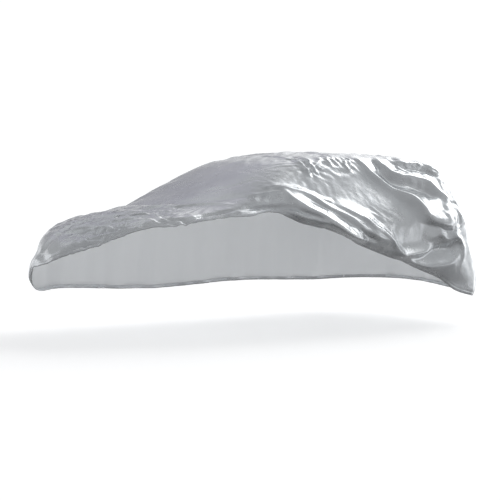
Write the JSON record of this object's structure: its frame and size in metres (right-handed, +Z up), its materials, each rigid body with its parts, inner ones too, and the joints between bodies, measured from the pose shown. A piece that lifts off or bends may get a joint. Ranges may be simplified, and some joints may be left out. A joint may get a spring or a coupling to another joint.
{
  "type": "car cover",
  "caption": "Fitted silver cloth cover for a compact hatchback, in its draped form over the car, with the hem of one side drawn up over the doors and bonnet.",
  "frame": {"origin": "on the underside of the top sheet, on the centre line of the roof, where the cover rests on the car", "axes": "+X towards the tail of the car, +Y to the far side that is covered down to the sill, +Z up"},
  "size_m": [4.0866, 1.8422, 1.2417],
  "materials": {
    "silver_cloth": "silver-coated cloth, semi-gloss"
  },
  "bodies": {
    "root": {"cover": "silver_cloth"}
  },
  "joints": []
}
